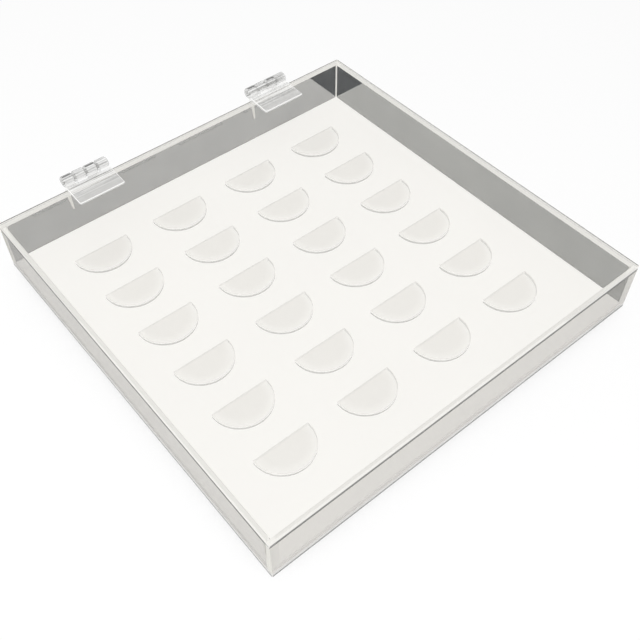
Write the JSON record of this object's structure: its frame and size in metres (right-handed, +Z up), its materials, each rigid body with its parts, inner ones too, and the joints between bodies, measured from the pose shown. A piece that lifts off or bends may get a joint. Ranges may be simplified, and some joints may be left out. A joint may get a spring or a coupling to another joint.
{
  "type": "false eyelash case",
  "caption": "Flat square case of clear sheet with a hinged clear lid, holding rows of clear half-moon pads on a thin white board, for keeping false eyelashes.",
  "frame": {"origin": "middle of the underside of the base plate, the face that the case rests on", "axes": "+Z up, +Y to the back wall that carries the hinges, +X to the right seen from the front"},
  "size_m": [0.21, 0.2158, 0.034],
  "materials": {
    "clear_sheet": "polished clear sheet",
    "hinge_plastic": "clear moulded plastic",
    "pad_plastic": "clear satin sheet",
    "white_board": "white matt board"
  },
  "bodies": {
    "case": {"base_plate": "clear_sheet", "front_wall": "clear_sheet", "back_wall": "clear_sheet", "left_wall": "clear_sheet", "right_wall": "clear_sheet", "insert_board": "white_board", "lash_pad_row1_col1": "pad_plastic", "lash_pad_row1_col2": "pad_plastic", "lash_pad_row1_col3": "pad_plastic", "lash_pad_row1_col4": "pad_plastic", "lash_pad_row2_col1": "pad_plastic", "lash_pad_row2_col2": "pad_plastic", "lash_pad_row2_col3": "pad_plastic", "lash_pad_row2_col4": "pad_plastic", "lash_pad_row3_col1": "pad_plastic", "lash_pad_row3_col2": "pad_plastic", "lash_pad_row3_col3": "pad_plastic", "lash_pad_row3_col4": "pad_plastic", "lash_pad_row4_col1": "pad_plastic", "lash_pad_row4_col2": "pad_plastic", "lash_pad_row4_col3": "pad_plastic", "lash_pad_row4_col4": "pad_plastic", "lash_pad_row5_col1": "pad_plastic", "lash_pad_row5_col2": "pad_plastic", "lash_pad_row5_col3": "pad_plastic", "lash_pad_row5_col4": "pad_plastic", "lash_pad_row6_col1": "pad_plastic", "lash_pad_row6_col2": "pad_plastic", "lash_pad_row6_col3": "pad_plastic", "lash_pad_row6_col4": "pad_plastic", "left_hinge_wall_leaf": "hinge_plastic", "right_hinge_wall_leaf": "hinge_plastic", "left_hinge_pin": "hinge_plastic", "right_hinge_pin": "hinge_plastic"},
    "lid": {"lid": "clear_sheet", "left_hinge_lid_leaf": "hinge_plastic", "right_hinge_lid_leaf": "hinge_plastic"}
  },
  "joints": [
    {"name": "lid_hinge", "type": "hinge", "parent": "case", "child": "lid", "pos_m": [0, 0.10795, 0.0311], "axis": [-1, 0, 0], "range_deg": [0, 189]}
  ]
}
